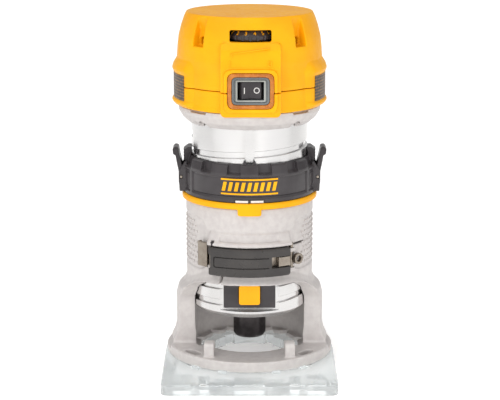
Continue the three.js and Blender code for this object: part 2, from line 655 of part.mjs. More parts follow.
coverScrewPlaces.forEach((place, i) => piece(motor, `cover_screw_${i + 1}`, coverScrew(place), MATERIAL.steel));

const rotor = new THREE.Group();
piece(rotor, 'spindle', spindle(), MATERIAL.steel);
piece(rotor, 'armature_core', tube(4.8, 21.4, 85, 121, 24), MATERIAL.lamination);
piece(rotor, 'commutator', commutator(), MATERIAL.copper);
piece(rotor, 'fan', fan(), MATERIAL.dark);
piece(rotor, 'collet', collet(), MATERIAL.steel);
piece(rotor, 'collet_nut', colletNut(), MATERIAL.black);

motor.add(rotor);
router.add(base, ring, motor);
router.position.y = AXIS_Y;

export default router;
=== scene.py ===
import json
import math

import bmesh
import bpy
from mathutils import Matrix, Vector


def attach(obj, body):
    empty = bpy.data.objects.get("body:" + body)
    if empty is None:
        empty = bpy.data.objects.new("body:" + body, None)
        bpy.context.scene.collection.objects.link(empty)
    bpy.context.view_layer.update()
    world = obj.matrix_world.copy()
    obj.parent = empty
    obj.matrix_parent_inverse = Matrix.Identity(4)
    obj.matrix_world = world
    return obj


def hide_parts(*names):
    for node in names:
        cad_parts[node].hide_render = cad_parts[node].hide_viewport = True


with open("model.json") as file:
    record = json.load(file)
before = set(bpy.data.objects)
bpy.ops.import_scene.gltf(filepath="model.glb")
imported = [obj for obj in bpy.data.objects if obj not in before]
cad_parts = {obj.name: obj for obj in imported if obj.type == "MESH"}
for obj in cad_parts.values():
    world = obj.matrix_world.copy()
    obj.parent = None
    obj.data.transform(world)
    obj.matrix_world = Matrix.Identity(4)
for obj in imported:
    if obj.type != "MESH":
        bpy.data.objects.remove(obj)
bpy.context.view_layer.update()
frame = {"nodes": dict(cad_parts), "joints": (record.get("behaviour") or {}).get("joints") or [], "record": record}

# Compact fixed-base router. Shapes are drawn in millimetres about the spindle axis, as the CAD
# solids are, and TO_FRAME takes them to the frame. Angles round the axis are in degrees from the
# front, and grow towards the right.

AXIS_Y = next(j["pos_m"][1] for j in frame["joints"] if j["name"] == "spindle_spin")
TO_FRAME = Matrix.Translation((0, AXIS_Y, 0)) @ Matrix.Scale(0.001, 4)

SLEEVE_R = 38
SLEEVE_TOP = 101.1
SWITCH_X, SWITCH_Z = 0.7, 171.3
PARTING_Z = 170
HEAD_TOP = 212.8
GROOVE_LEAD = 9.85
GROOVE_FRONT_Z = 132.5
TAB_PIVOT = (40.5, 114.5)
LOCK_Z = 48.5
DOT_STEPS = 14
DOT_ROW_MM = 3.1
SCREW_PLACES = [(33.4 * sx, 30.1 * sy) for sx in (-1, 1) for sy in (-1, 1)]


# ---------------------------------------------------------------- modelling kit

def rounded(points, steps=4):
    """A closed outline. A point is (x, y), or (x, y, radius) for a round corner."""
    outline = []
    for i, point in enumerate(points):
        here = Vector(point[:2])
        radius = point[2] if len(point) > 2 else 0
        if not radius:
            outline.append(here)
            continue
        back = Vector(points[i - 1][:2]) - here
        ahead = Vector(points[(i + 1) % len(points)][:2]) - here
        reach = radius / math.tan(back.angle(ahead) / 2)
        reach = min(reach, 0.48 * back.length, 0.48 * ahead.length)
        start = here + back.normalized() * reach
        end = here + ahead.normalized() * reach
        for k in range(steps + 1):
            t = k / steps
            outline.append(start * (1 - t) ** 2 + here * 2 * t * (1 - t) + end * t * t)
    return outline


def rectangle(x0, x1, y0, y1, radius=0.0):
    return rounded([(x0, y0, radius), (x1, y0, radius), (x1, y1, radius), (x0, y1, radius)])


def new_object(vertices, faces):
    """A closed mesh object with its faces pointing out."""
    mesh = bpy.data.meshes.new("shape")
    mesh.from_pydata(vertices, [], faces)
    bm = bmesh.new()
    bm.from_mesh(mesh)
    bmesh.ops.remove_doubles(bm, verts=bm.verts, dist=1e-4)
    bmesh.ops.recalc_face_normals(bm, faces=bm.faces)
    bm.to_mesh(mesh)
    bm.free()
    obj = bpy.data.objects.new("shape", mesh)
    bpy.context.scene.collection.objects.link(obj)
    return obj


def swept(outline, start, end, steps=None, warp=None):
    """An (r, z) outline swept round the axis from one angle to another.

    warp(angle, r, z) may move the outline's points on the way.
    """
    whole = abs(end - start) >= 360
    steps = steps or max(3, round(abs(end - start) / 2.5))
    count = steps if whole else steps + 1
    vertices = []
    for i in range(count):
        degrees = start + (end - start) * i / steps
        a = math.radians(degrees)
        for p in outline:
            r, z = warp(degrees, *p) if warp else p
            vertices.append((r * math.sin(a), -r * math.cos(a), z))
    n = len(outline)
    faces = []
    for i in range(steps):
        for k in range(n):
            a, b = i * n, ((i + 1) % count) * n
            faces.append((a + k, a + (k + 1) % n, b + (k + 1) % n, b + k))
    if not whole:
        faces.append(tuple(range(n)))
        faces.append(tuple((count - 1) * n + k for k in reversed(range(n))))
    return new_object(vertices, faces)


def lathe(outline, steps=144, warp=None):
    return swept(outline, 0, 360, steps, warp)


def smooth_step(value):
    value = min(1, max(0, value))
    return value * value * (3 - 2 * value)


def ring_block(r0, r1, z0, z1, a0, a1):
    return swept([(r0, z0), (r1, z0), (r1, z1), (r0, z1)], a0, a1)


def prism(outline, low, high, axis="Z"):
    """A flat outline made solid along an axis: (x, y) along Z, (x, z) along Y, (y, z) along X."""
    place = {
        "Z": lambda p, d: (p[0], p[1], d),
        "Y": lambda p, d: (p[0], d, p[1]),
        "X": lambda p, d: (d, p[0], p[1]),
    }[axis]
    n = len(outline)
    vertices = [place(p, d) for d in (low, high) for p in outline]
    faces = [(k, (k + 1) % n, n + (k + 1) % n, n + k) for k in range(n)]
    faces += [tuple(range(n)), tuple(n + k for k in reversed(range(n)))]
    return new_object(vertices, faces)


def block(x0, x1, y0, y1, z0, z1):
    return prism([(x0, y0), (x1, y0), (x1, y1), (x0, y1)], z0, z1)


def circle(cx, cy, r, sides=32):
    return [
        (cx + r * math.cos(2 * math.pi * i / sides), cy + r * math.sin(2 * math.pi * i / sides))
        for i in range(sides)
    ]


def rod(r, low, high, cx=0.0, cy=0.0, axis="Z", sides=32):
    return prism(circle(cx, cy, r, sides), low, high, axis)


def moved(obj, x=0.0, y=0.0, z=0.0):
    obj.data.transform(Matrix.Translation((x, y, z)))
    return obj


def spun(obj, degrees, axis="Z"):
    obj.data.transform(Matrix.Rotation(math.radians(degrees), 4, axis))
    return obj


def about(obj, degrees, axis, point):
    """Turned about an axis through a point."""
    centre = Matrix.Translation(point)
    obj.data.transform(centre @ Matrix.Rotation(math.radians(degrees), 4, axis) @ centre.inverted())
    return obj


def at(r, angle):
    a = math.radians(angle)
    return r * math.sin(a), -r * math.cos(a)


def apply_modifiers(obj):
    graph = bpy.context.evaluated_depsgraph_get()
    mesh = bpy.data.meshes.new_from_object(obj.evaluated_get(graph))
    obj.modifiers.clear()
    obj.data = mesh
    return obj


def combined(target, tools, operation):
    for tool in tools:
        modifier = target.modifiers.new("combine", "BOOLEAN")
        modifier.object = tool
        modifier.operation = operation
        modifier.solver = "MANIFOLD"
    apply_modifiers(target)
    for tool in tools:
        bpy.data.objects.remove(tool)
    return target


def joined(target, *others):
    return combined(target, others, "UNION")


def cut(target, *tools):
    return combined(target, tools, "DIFFERENCE")


def common(target, other):
    return combined(target, [other], "INTERSECT")


def softened(obj, voxel, passes=4):
    """Rebuilt on a fine grid and smoothed, which rounds every edge as a mould or a casting does."""
    remesh = obj.modifiers.new("remesh", "REMESH")
    remesh.mode = "VOXEL"
    remesh.voxel_size = voxel
    smooth = obj.modifiers.new("smooth", "SMOOTH")
    smooth.factor = 0.5
    smooth.iterations = passes
    return apply_modifiers(obj)


def bevelled(obj, width, segments=2, angle=35):
    bevel = obj.modifiers.new("bevel", "BEVEL")
    bevel.width = width
    bevel.segments = segments
    bevel.limit_method = "ANGLE"
    bevel.angle_limit = math.radians(angle)
    return apply_modifiers(obj)


def merged(objects):
    """Separate closed meshes kept as one object."""
    bm = bmesh.new()
    for obj in objects:
        bm.from_mesh(obj.data)
    mesh = bpy.data.meshes.new("shape")
    bm.to_mesh(mesh)
    bm.free()
    for obj in objects[1:]:
        bpy.data.objects.remove(obj)
    objects[0].data = mesh
    return objects[0]


def piece(obj, name, body, material, slot, *nodes, crease=40):
    """Names a finished shape, puts it in the frame and ties it to its body."""
    obj.data.transform(TO_FRAME)
    obj.data.materials.clear()
    obj.data.materials.append(material)
    obj.data.polygons.foreach_set("use_smooth", [True] * len(obj.data.polygons))
    obj.data.set_sharp_from_angle(angle=math.radians(crease))
    obj.name = obj.data.name = name
    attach(obj, body)
    if nodes:
        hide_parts(*nodes)
    return obj


# ---------------------------------------------------------------- materials

def srgb(code):
    """A linear colour from a hex code."""
    parts = [int(code[i:i + 2], 16) / 255 for i in (0, 2, 4)]
    return [p / 12.92 if p <= 0.04045 else ((p + 0.055) / 1.055) ** 2.4 for p in parts] + [1]


class Finish:
    """A Principled material whose colour, roughness and bump come from procedural noise."""

    def __init__(self, name, **settings):
        self.material = bpy.data.materials.new(name)
        self.material.use_nodes = True
        self.tree = self.material.node_tree
        self.shader = self.tree.nodes["Principled BSDF"]
        for key, value in settings.items():
            self.shader.inputs[key.replace("_", " ").title().replace("Ior", "IOR")].default_value = value
        self.place = self.node("ShaderNodeTexCoord").outputs["Object"]
        self.normal = None

    def node(self, kind, **inputs):
        made = self.tree.nodes.new(kind)
        for key, value in inputs.items():
            socket = made.inputs[key.replace("_", " ")]
            if isinstance(value, bpy.types.NodeSocket):
                self.tree.links.new(value, socket)
            else:
                socket.default_value = value
        return made

    def noise(self, scale, detail=3.0, stretch=(1, 1, 1)):
        """Noise with features about 1 / scale metres across."""
        mapping = self.node("ShaderNodeMapping", Vector=self.place)
        mapping.inputs["Scale"].default_value = stretch
        made = self.node("ShaderNodeTexNoise", Scale=scale, Detail=detail)
        self.tree.links.new(mapping.outputs["Vector"], made.inputs["Vector"])
        return made.outputs["Fac"]

    def ramp(self, value, low, high, low_at=0.35, high_at=0.65):
        """Carries a value from one colour to another."""
        made = self.node("ShaderNodeValToRGB", Fac=value)
        made.color_ramp.elements[0].position = low_at
        made.color_ramp.elements[0].color = low
        made.color_ramp.elements[1].position = high_at
        made.color_ramp.elements[1].color = high
        return made.outputs["Color"]

    def colour(self, value, low, high, **stops):
        self.tree.links.new(self.ramp(value, srgb(low), srgb(high), **stops),
            self.shader.inputs["Base Color"])
        return self

    def rough(self, value, low, high):
        grey = self.ramp(value, [low] * 3 + [1], [high] * 3 + [1])
        self.tree.links.new(grey, self.shader.inputs["Roughness"])
        return self

    def bump(self, value, strength, depth_mm):
        made = self.node("ShaderNodeBump", Strength=strength, Distance=depth_mm / 1000, Height=value)
        if self.normal:
            self.tree.links.new(self.normal, made.inputs["Normal"])
        self.normal = made.outputs["Normal"]
        self.tree.links.new(self.normal, self.shader.inputs["Normal"])
        return self


def moulded(name, low, high, roughness, grain=0.35, shine=0.45):
    """Moulded plastic: an even colour with a fine spark-eroded grain."""
    made = Finish(name)
    made.shader.inputs["Specular IOR Level"].default_value = shine
    made.colour(made.noise(60, 2), low, high)
    made.rough(made.noise(350, 3), roughness - 0.06, roughness + 0.07)
    made.bump(made.noise(3800, 2), grain, 0.05)
    return made.material


def cast_aluminium():
    made = Finish("cast_aluminium", metallic=0.18)
    made.colour(made.noise(300, 3), "c2bcba", "cbc6c3")
    made.rough(made.noise(260, 3), 0.42, 0.52)
    made.bump(made.noise(1500, 2), 0.16, 0.03)
    made.bump(made.noise(150, 2), 0.15, 0.08)
    return made.material


def machined_aluminium():
    made = Finish("machined_aluminium", metallic=1.0)
    made.colour(made.noise(25, 2), "d6d5d4", "e4e3e3")
    made.rough(made.noise(40, 2, (0.2, 0.2, 4)), 0.22, 0.26)
    made.bump(made.noise(120, 1, (0.1, 0.1, 4)), 0.005, 0.01)
    made.shader.inputs["Anisotropic"].default_value = 0.85
    made.shader.inputs["Anisotropic Rotation"].default_value = 0.25
    return made.material


def steel(name, low, high, roughness):
    made = Finish(name, metallic=1.0)
    made.colour(made.noise(130, 4), low, high)
    made.rough(made.noise(500, 3), roughness - 0.08, roughness + 0.1)
    made.bump(made.noise(2200, 3), 0.3, 0.03)
    return made.material


def clear_plastic():
    """Clear sheet that lets light through to what lies below it."""
    made = Finish("clear_plastic", roughness=0.05, ior=1.4)
    made.shader.inputs["Transmission Weight"].default_value = 0.72
    made.colour(made.noise(20, 2), "e6eaeb", "f2f5f5")
    made.bump(made.noise(260, 2), 0.03, 0.02)
    path = made.node("ShaderNodeLightPath")
    passing = made.node("ShaderNodeBsdfTransparent", Color=(0.96, 0.97, 0.97, 1))
    through = made.node("ShaderNodeMath")
    through.operation = "MAXIMUM"
    made.tree.links.new(path.outputs["Is Shadow Ray"], through.inputs[0])
    made.tree.links.new(path.outputs["Is Diffuse Ray"], through.inputs[1])
    mix = made.node("ShaderNodeMixShader", Fac=through.outputs["Value"])
    made.tree.links.new(made.shader.outputs["BSDF"], mix.inputs[1])
    made.tree.links.new(passing.outputs["BSDF"], mix.inputs[2])
    made.tree.links.new(mix.outputs["Shader"], made.tree.nodes["Material Output"].inputs["Surface"])
    return made.material


def boot_painted_shade():
    # The boot's amber-brown colour is painted shade: it stands for the shaded yellow recess seen through a clear
    # boot.
    made = Finish("amber_boot", ior=1.45)
    made.shader.inputs["Subsurface Weight"].default_value = 0.3
    made.shader.inputs["Subsurface Scale"].default_value = 0.002
    made.colour(made.noise(240, 3), "ad6523", "c67c33")
    made.rough(made.noise(600, 3), 0.25, 0.4)
    made.bump(made.noise(1800, 2), 0.2, 0.03)
    return made.material


def printed_label():
    """A dark label with rows of plain print, no letters."""
    made = Finish("label")
    brick = made.node("ShaderNodeTexBrick", Scale=230.0, Mortar_Size=0.1, Brick_Width=1.9, Row_Height=0.4)
    brick.offset = 0.37
    swap = made.node("ShaderNodeSeparateXYZ", Vector=made.place)
    row = made.node("ShaderNodeCombineXYZ", X=swap.outputs["Y"], Y=swap.outputs["Z"], Z=0.0)
    made.tree.links.new(row.outputs["Vector"], brick.inputs["Vector"])
    brick.inputs["Color1"].default_value = srgb("7d5f3f")
    brick.inputs["Color2"].default_value = srgb("6a5238")
    brick.inputs["Mortar"].default_value = srgb("3a3430")
    made.tree.links.new(brick.outputs["Color"], made.shader.inputs["Base Color"])
    made.rough(made.noise(500, 2), 0.4, 0.55)
    made.bump(made.noise(3000, 2), 0.15, 0.02)
    return made.material


MATERIAL = {
    "cast_aluminium": cast_aluminium(),
    "machined_aluminium": machined_aluminium(),
    "yellow_plastic": moulded("yellow_plastic", "efa506", "f4ae07", 0.46, 0.2, 0.22),
    # A lighter copy of the yellow plastic, painted light: it keeps the lock key and the ring badge bright where
    # they sit in shade.
    "yellow_painted_light": moulded("yellow_painted_light", "f4a804", "f9b206", 0.4, 0.15, 0.3),
    "dark_plastic": moulded("dark_plastic", "332f31", "3f3b3d", 0.34, 0.4),
    "grey_plastic": moulded("grey_plastic", "353231", "3f3c3a", 0.33, 0.3),
    "steel": steel("steel", "8a8076", "a39a8f", 0.34),
    "black_steel": steel("black_steel", "444142", "565253", 0.38),
    "clear_plastic": clear_plastic(),
    # The amber_boot colour is painted shade of the switch recess.
    "amber_boot": boot_painted_shade(),
    "label": printed_label(),
    "copper": steel("copper", "a5633a", "c07d50", 0.38),
    "lamination": steel("lamination", "6f7174", "85878a", 0.5),
    "carbon": moulded("carbon", "1f1f1f", "2b2b2b", 0.7),
    "board": moulded("board", "25332a", "304036", 0.6),
    "black_plastic": moulded("black_plastic", "121212", "1b1b1b", 0.5),
    "bezel_plastic": moulded("bezel_plastic", "5f6364", "6c7071", 0.25, 0.1),
    "light_grey": moulded("light_grey", "94958f", "a5a6a1", 0.3, 0.1),
    "ink": moulded("ink", "d9d6d2", "e6e3e0", 0.5, 0.1),
}


# ---------------------------------------------------------------- base

def shoulder_lift(angle, r, z):
    """The legs' shoulder rises towards the front, over the window."""
    from_front = min(angle % 360, 360 - angle % 360)
    if r > 37.9 and 38 < z < 56:
        z += 9 * smooth_step((78 - from_front) / 46)
    return r, z


def base_casting():
    bell = lathe(rounded([
        (29.6, 6.1, 0.4), (50, 6.1, 0.5), (50.2, 12.3, 1.2), (48, 12.9, 1), (45.2, 19, 2), (44.3, 24, 3),
        (44.3, 41.5, 4),
        (43, 46.6, 2.5), (39.4, 50.2, 2), (37.9, 54, 1.5), (SLEEVE_R, 58), (SLEEVE_R, SLEEVE_TOP, 0.3),
        (35.8, SLEEVE_TOP), (35.8, 103.2),
        (36.5, 103.5), (36.5, 104.6), (34.8, 104.6), (34.8, 26, 8), (34, 13.6, 3), (29.6, 12.4, 0.8),
    ]), 180, shoulder_lift)
    brow = swept(rounded([(37, 79), (42.2, 79, 0.3), (42.2, 80.6, 0.9), (40.4, 82, 2), (39, 86.2, 1.2),
        (37, 87.4)]), -37, 37)
    brow = common(brow, prism(rounded([(-24.8, 77, 0.5), (25, 77, 0.5), (25, 87, 5), (-24.8, 87, 5)]),
        -60, 0, "Y"))
    dip = swept(rounded([(38.9, 81.4), (43, 82.6), (43, 84.8), (38.9, 85.6)]), -26, 26)
    brow = cut(brow, common(dip, prism(rounded([(-21, 80, 3), (21, 80, 3), (21, 87, 3), (-21, 87, 3)]),
        -60, 0, "Y")))
    posts = []
    for side in (-1, 1):
        post = prism(rounded([(-40.4, 11), (-33.2, 11), (-33.2, 21.6, 2.4), (-40.4, 20.4, 2.4)]), -3, 3, "X")
        posts.append(moved(spun(post, 6 * side), 23.25 * side - 3.5 * side, 0, 0))
    opening = prism(rounded([
        (-60, 12.35), (-12, 12.35, 2), (-12, 41, 9), (-17.5, 49.5, 7), (-24.5, 54, 6), (-32, 56, 5),
        (-60, 56.8),
    ], 10), -60, 60, "X")
    body = joined(cut(bell, opening), brow, *posts)

    # The rim steps down behind the front platform, whose ends stand clear of the legs.
    step = lathe([(46.4, 9.8), (53, 9.8), (53, 14), (46.4, 14)])
    behind = [(-60, 60), (60, 60), (60, -53.2), (42.6, -1), (-42.6, -1), (-60, -53.2)]
    body = cut(body, common(step, prism(behind, 5, 20)))
    body = cut(body, swept([(28, 8.7), (34.5, 8.7), (34.2, 17), (28, 17)], 60, 300))

    bar_x, bar_y = at(39.6, 37.8)
    lugs = [ring_block(37.2, 41.6, z0, z1, 35, 40.6) for z0, z1 in ((62.7, 65.3), (74.7, 77.2))]
    boss = spun(rod(3.9, -40.9, -36.5, 0, 70.4, "Y"), 42)
    body = joined(body, *lugs, boss)
    slots = []
    for side in (-1, 1):
        slot = prism(rectangle(-5.6, 5.6, -2.5, 2.5, 2.4), 8.2, 14)
        slots.append(moved(spun(slot, 48 * side), 33.4 * side, -30.1))
    notches = [spun(prism([(-4.4, -27), (0, -34.6), (4.4, -27)], 5, 14), a) for a in (-105, -75, 75, 105,
        135, 155, 180, 205, 225)]
    holes = [rod(2.3, 5, 10.9, x, y) for x, y in SCREW_PLACES]
    body = cut(
        body, *slots, *notches, *holes,
        *grip_panels(),
        ring_block(33, 40, 77.4, 78.6, -25, 60),
        spun(block(-0.7, 0.7, -44, -33, 54, 78.6), -24.6),
        ring_block(SLEEVE_R, 42, 65.6, 74.4, 30, 40.1),
        rod(1.6, 62, 81, bar_x, bar_y),
        spun(rod(1.5, -44, -36, 0, 70.4, "Y"), 42),
    )
    return softened(body, 0.45, 3)


def grip_panels():
    """The shallow recesses on the sleeve's sides, as cutting tools."""
    window = rounded([(-28, 62, 5), (28, 62, 5), (28, 93.5, 7), (-28, 93.5, 7)])
    panels = []
    for side in (-1, 1):
        panel = ring_block(37.3, 40, 60, 96, 90 * side - 50, 90 * side + 50)
        panels.append(common(panel, prism(window, 5 if side > 0 else -60, 60 if side > 0 else -5, "X")))
    return panels


def grip_dots():
    """Rows of round dots on the sleeve's sides."""
    dots = []
    row = 0
    z = 65.2
    while z < 92:
        reach = 37 if z < 88 else 32
        for side in (-90, 90):
            for i in range(DOT_STEPS + 1):
                offset = 80 * (i + 0.5 * (row % 2)) / DOT_STEPS - 40
                if abs(offset) > reach:
                    continue
                mesh = bpy.data.meshes.new("dot")
                bm = bmesh.new()
                bmesh.ops.create_icosphere(bm, subdivisions=2, radius=0.7)
                bm.to_mesh(mesh)
                bm.free()
                x, y = at(37.55, side + offset)
                dot = bpy.data.objects.new("dot", mesh)
                bpy.context.scene.collection.objects.link(dot)
                dots.append(moved(dot, x, y, z))
        row += 1
        z += DOT_ROW_MM
    return merged(dots)


def sub_base():
    outline = rounded([(-51, 0), (-51, -72, 5), (51, -72, 5), (51, 0)], 8)
    outline += [(51 * math.cos(math.radians(a)), 51 * math.sin(math.radians(a))) for a in range(3, 178, 3)]
    plate = bevelled(prism(outline, 0, 5.8), 0.5, 3)
    notches = [spun(prism(rectangle(-27, 27, -3, 3, 1), -1, 7), a) for a in (0, 60, 120)]
    holes = [rod(2.2, -1, 7, x, y) for x, y in SCREW_PLACES]
    holes += [rod(3.9, -1, 3.1, x, y) for x, y in SCREW_PLACES]
    groove = lathe([(46.4, 4.9), (48.6, 4.9), (48.6, 7), (46.4, 7)])
    pockets = []
    for x0, x1, y0, y1 in ((-44, -33, -66, -48), (33, 44, -66, -48), (-9, 9, -66, -52),
        (-29, -23, -64, -50), (23, 29, -64, -50)):
        pockets.append(prism(rectangle(x0, x1, y0, y1, 1.5), -1, 1.6))
    return cut(plate, rod(24, -1, 7, 0, 0, "Z", 128), *notches, *holes, groove, *pockets)


def sub_base_rests():
    """Clear pips that the casting's rim stands against."""
    return merged([
        spun(bevelled(block(-2.6, 2.6, -52.3, -50.35, 5.6, 7.1), 0.4), a) for a in (-38, -18, 18, 38)
    ])


# ---------------------------------------------------------------- clamp

def clamp_lever():
    pivot = at(40.6, -31.5)
    face = swept(rounded([(39.8, 61.6, 0.5), (43.5, 61.6, 1.3), (43.5, 78.4, 1.3), (39.8, 78.4, 0.5)]),
        -33.5, 33.5, 60)
    frame_shape = rounded([(-24.3, 61.5, 2), (24, 61.5, 2.5), (24, 78.5, 2.5), (-24.3, 78.5, 2)])
    face = common(face, prism(frame_shape, -60, 0, "Y"))
    body = joined(face, rod(2.1, 61.6, 78.4, *pivot))
    line = 0.5
    outer = rounded([(-21, 66.9, 1.2), (11.5, 66.9, 0.6), (11.5, 73.3, 0.6), (-21, 73.3, 1.2)])
    groove = prism(outer, -60, -30, "Y")
    inner = rounded([(-21 + line, 66.9 + line, 1), (14, 66.9 + line), (14, 73.3 - line),
        (-21 + line, 73.3 - line, 1)])
    groove = cut(groove, prism(inner, -61, -29, "Y"))
    groove = common(groove, lathe([(42.75, 60), (46, 60), (46, 85), (42.75, 85)]))
    body = cut(
        body, groove,
        rod(2.4, 65.8, 74.2, *pivot),
        ring_block(37, 44.5, 65.8, 74.2, -37, -31.9),
        swept(rounded([(37, 66.9, 1), (45, 66.9, 1), (45, 73.5, 1), (37, 73.5, 1)]), 17.5, 37),
        rod(1.4, 60, 82, *pivot),
    )
    return softened(body, 0.17, 2)


def clamp_strap():
    pivot = at(40.6, -31.5)
    bar = at(39.6, 37.8)
    body = joined(
        ring_block(38.3, 39.1, 66.1, 73.9, -48, 37.4),
        rod(2.1, 66.1, 73.9, *pivot),
        rod(1.3, 62.9, 80.2, *bar),
        swept(rounded([(39.9, 65.3, 0.5), (41, 65.3, 0.5), (41, 80.2, 0.5), (39.9, 80.2, 0.5)]), -48, -37.5),
        ring_block(38.3, 41, 65.3, 80.2, -48, -46.8),
        swept(rounded([(42, 67.3, 0.4), (42.9, 67.3, 0.4), (42.9, 73.1, 0.4), (42, 73.1, 0.4)]), 23.5, 34),
        ring_block(38.3, 42.9, 67.3, 73.1, 23.5, 24.7),
        ring_block(38.3, 42.9, 67.3, 73.1, 32.8, 34),
    )
    return softened(cut(body, rod(1.4, 60, 82, *pivot)), 0.18, 3)


def pivot_spring():
    """The wire spring over the lever's pivot."""
    pivot = at(40.6, -31.5)
    coils = [rod(1.7, z, z + 0.55, *pivot, sides=24) for z in (79.1, 79.85, 80.6)]
    legs = [ring_block(40.2, 40.9, 79.2, 79.9, -45, -32), ring_block(38.8, 39.5, 80.6, 81.2, -31, -26)]
    return softened(joined(rod(1.1, 78.6, 82, *pivot, sides=24), *coils, *legs), 0.14, 2)


def adjusting_screw():
    head = prism(circle(0, 70.4, 3.3, 48), -43.4, -41.2, "Y")
    shank = prism(circle(0, 70.4, 1.2, 24), -41.3, -36.6, "Y")
    socket = prism(circle(0, 70.4, 2.1, 6), -44, -40.6, "Y")
    return spun(softened(cut(joined(head, shank), socket), 0.12, 3), 42)


# ---------------------------------------------------------------- rings

def scale_ring():
    body = joined(
        lathe(rounded([(37.9, 101.4, 0.3), (40.2, 101.4, 0.6), (40.3, 104, 0.6), (39.4, 105, 0.3),
        (37.9, 105, 0.2)])),
        prism(rounded([(-6.9, 97.7, 1.2), (6.9, 97.7, 1.2), (6.9, 104.9), (-6.9, 104.9)]), -41, -37.95, "Y"),
    )
    clearance = lathe([(20, 90), (38.3, 90), (38.3, 101.45), (20, 101.45)])
    outside = lathe([(20, 90), (40.4, 90), (40.4, 106), (20, 106)])
    return softened(cut(common(body, outside), clearance), 0.28, 3)


def adjustment_ring():
    body = lathe(rounded([
        (36.1, 101.5), (37.6, 101.5), (37.6, 105.3), (39.3, 105.3, 0.5), (39.3, 107.6, 0.4),
        (38.6, 108.2, 0.3), (38.6, 120, 0.3),
        (39.3, 120.6, 0.3), (39.3, 121.4, 0.4), (36.5, 122.8, 0.6), (35.7, 127.4, 0.4), (34.9, 127.4, 0.3),
        (34.9, 105), (36.8, 105), (36.8, 102.9), (36.1, 102.9),
    ]))
    pad = rounded([(35.2, 120.8), (39.3, 120.8, 0.2), (39.3, 122.2, 0.5), (38.1, 126.7, 0.5),
        (36.6, 127.4, 0.3), (35.2, 127.4)])
    additions = []
    for centre in (0, 180):
        additions += [swept(pad, centre + 27 * k - 7.6, centre + 27 * k + 7.6) for k in (-2, -1, 0, 1, 2)]
        additions += [ring_block(38.2, 39.3, 107, 121, centre + edge - 1.6,
            centre + edge + 1.6) for edge in (-61, 61)]
        additions.append(ring_block(38.2, 39.3, 107, 121, centre - 99, centre - 81))
        additions += [ring_block(38.2, 39, 111, 118, centre + edge - 5,
            centre + edge + 5) for edge in (-70, 70)]
    additions += [ring_block(35.1, 36.6, 127.2, 129, a - 1.2, a + 1.2) for a in (-4.6, 4.6)]
    cuts = []
    for side in (-1, 1):
        half = 0 if side > 0 else 180
        hump = swept(rounded([(34.95, 120), (39, 120), (39, 130.4, 1.4), (37, 131.8, 1),
            (34.95, 131.8, 0.5)]), 80.5, 99.5)
        ribs = [ring_block(38.6, 39.3, z, z + 0.9, 81.5, 98.5) for z in (123.5, 125.5, 127.5, 129.5)]
        additions += [spun(hump, half), *[spun(rib, half) for rib in ribs]]
        for end in (-1, 1):
            lug = prism(
                rounded([(37, 105.9), (40.9, 105.9, 0.8), (42, 111.6, 1.6), (42, 117.4, 1.6),
                (38.6, 123.4, 1), (37, 124)]),
                8.5 * end - 1.4, 8.5 * end + 1.4, "Y",
            )
            additions.append(spun(lug, half))
        cuts += [
            spun(block(37.9, 42.5, -6.9, 6.9, 105.7, 124), half),
            spun(block(33, 42.5, -3.5, 3.5, 104.8, 111.4), half),
            rod(1.1, -11, 11, TAB_PIVOT[0] * side, TAB_PIVOT[1], "Y"),
        ]
    notch = ring_block(38.6, 41, 104, 107.2, -13, 13)
    body = cut(joined(body, *additions), *cuts, notch, *ring_frame())
    return softened(body, 0.22, 1)


def ring_frame():
    """Grooves that frame the ring's front and back faces."""
    grooves = []
    for centre in (0, 180):
        for a, b in ((-58.6, -57.6), (57.6, 58.6)):
            grooves.append(ring_block(38.1, 40, 108.6, 119.6, centre + a, centre + b))
        for z in (108.6, 119.1):
            grooves.append(ring_block(38.1, 40, z, z + 0.5, centre - 58, centre + 58))
    return grooves


def ring_badge():
    """Plain yellow bars on the ring's front, where a name plate would be."""
    bars = [ring_block(38.3, 39.0, z - 0.45, z + 0.45, -25, 25) for z in (110.4, 118.9)]
    for i in range(9):
        angle = -22 + 5.5 * i
        stroke = ring_block(38.3, 38.95, 112.1, 117.3, angle - 1.5, angle + 1.5)
        shear = Matrix.Identity(4)
        shear[0][2] = 0.22
        stroke.data.transform(Matrix.Translation((0, 0, 114.7)) @ shear @ Matrix.Translation((0, 0, -114.7)))
        bars.append(stroke)
    return merged(bars)


def ring_index():
    """The light window and its pointer in the ring's lower edge."""
    return merged([ring_block(38.3, 38.9, 105.35, 106.6, a, b) for a, b in ((-12, -1.2), (1.2, 12))])


def release_tab(side, low, high):
    outline = rounded([
        (39.7, 105.1, 0.3), (41.7, 105.1, 0.6), (42, 112, 1), (42.2, 117.5, 2), (43.5, 124, 1),
        (43.9, 126.6, 0.5), (45.4, 127.4, 1),
        (45.7, 130.6, 1.2), (44.2, 132.1, 1.2), (42.2, 131.4, 1), (41.6, 127.5, 1.5), (39.8, 119.5, 1),
        (39.1, 116.8), (39.1, 112.2),
        (39.7, 111.4),
    ])
    plate = prism(outline, -6.5, 6.5, "Y")
    taper = prism(rounded([(-6.5, 105), (6.5, 105), (6.5, 120, 3), (5.6, 132.2, 1.5), (-5.6, 132.2, 1.5),
        (-6.5, 120, 3)]), 30, 50, "X")
    plate = common(plate, taper)
    tab = cut(
        joined(plate, block(34.05, 40.5, -3, 3, low, high)),
        rod(2.2, -3, 3, *TAB_PIVOT, "Y"),
        rod(1.1, -8, 8, *TAB_PIVOT, "Y"),
    )
    return spun(softened(tab, 0.2, 3), 0 if side > 0 else 180)


# ---------------------------------------------------------------- motor

